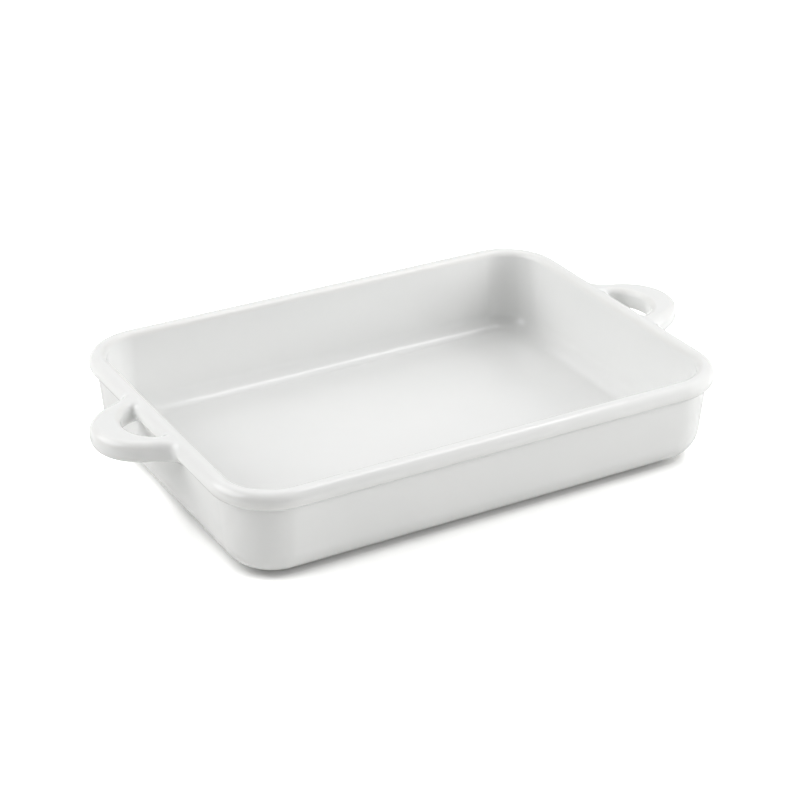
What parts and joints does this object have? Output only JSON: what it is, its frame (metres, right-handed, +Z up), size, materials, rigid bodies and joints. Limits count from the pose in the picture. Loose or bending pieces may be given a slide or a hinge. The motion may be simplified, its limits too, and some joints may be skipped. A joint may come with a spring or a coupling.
{
  "type": "baking dish",
  "caption": "Oblong white glazed stoneware oven dish with leaning walls, a rolled rim that overhangs them, a bare foot ring and a loop handle at each end.",
  "frame": {"origin": "middle of the footprint, on the surface the dish stands on", "axes": "+X along the dish from the left handle to the right one, +Y from the front to the back, +Z up out of the open top"},
  "size_m": [0.4208, 0.2536, 0.064],
  "materials": {
    "glaze": "gloss white glaze",
    "bare_foot": "bare ground stoneware"
  },
  "bodies": {
    "root": {"dish_body": "glaze", "rim_bead": "glaze", "foot_ring": "bare_foot", "handle_left": "glaze", "handle_right": "glaze"}
  },
  "joints": []
}
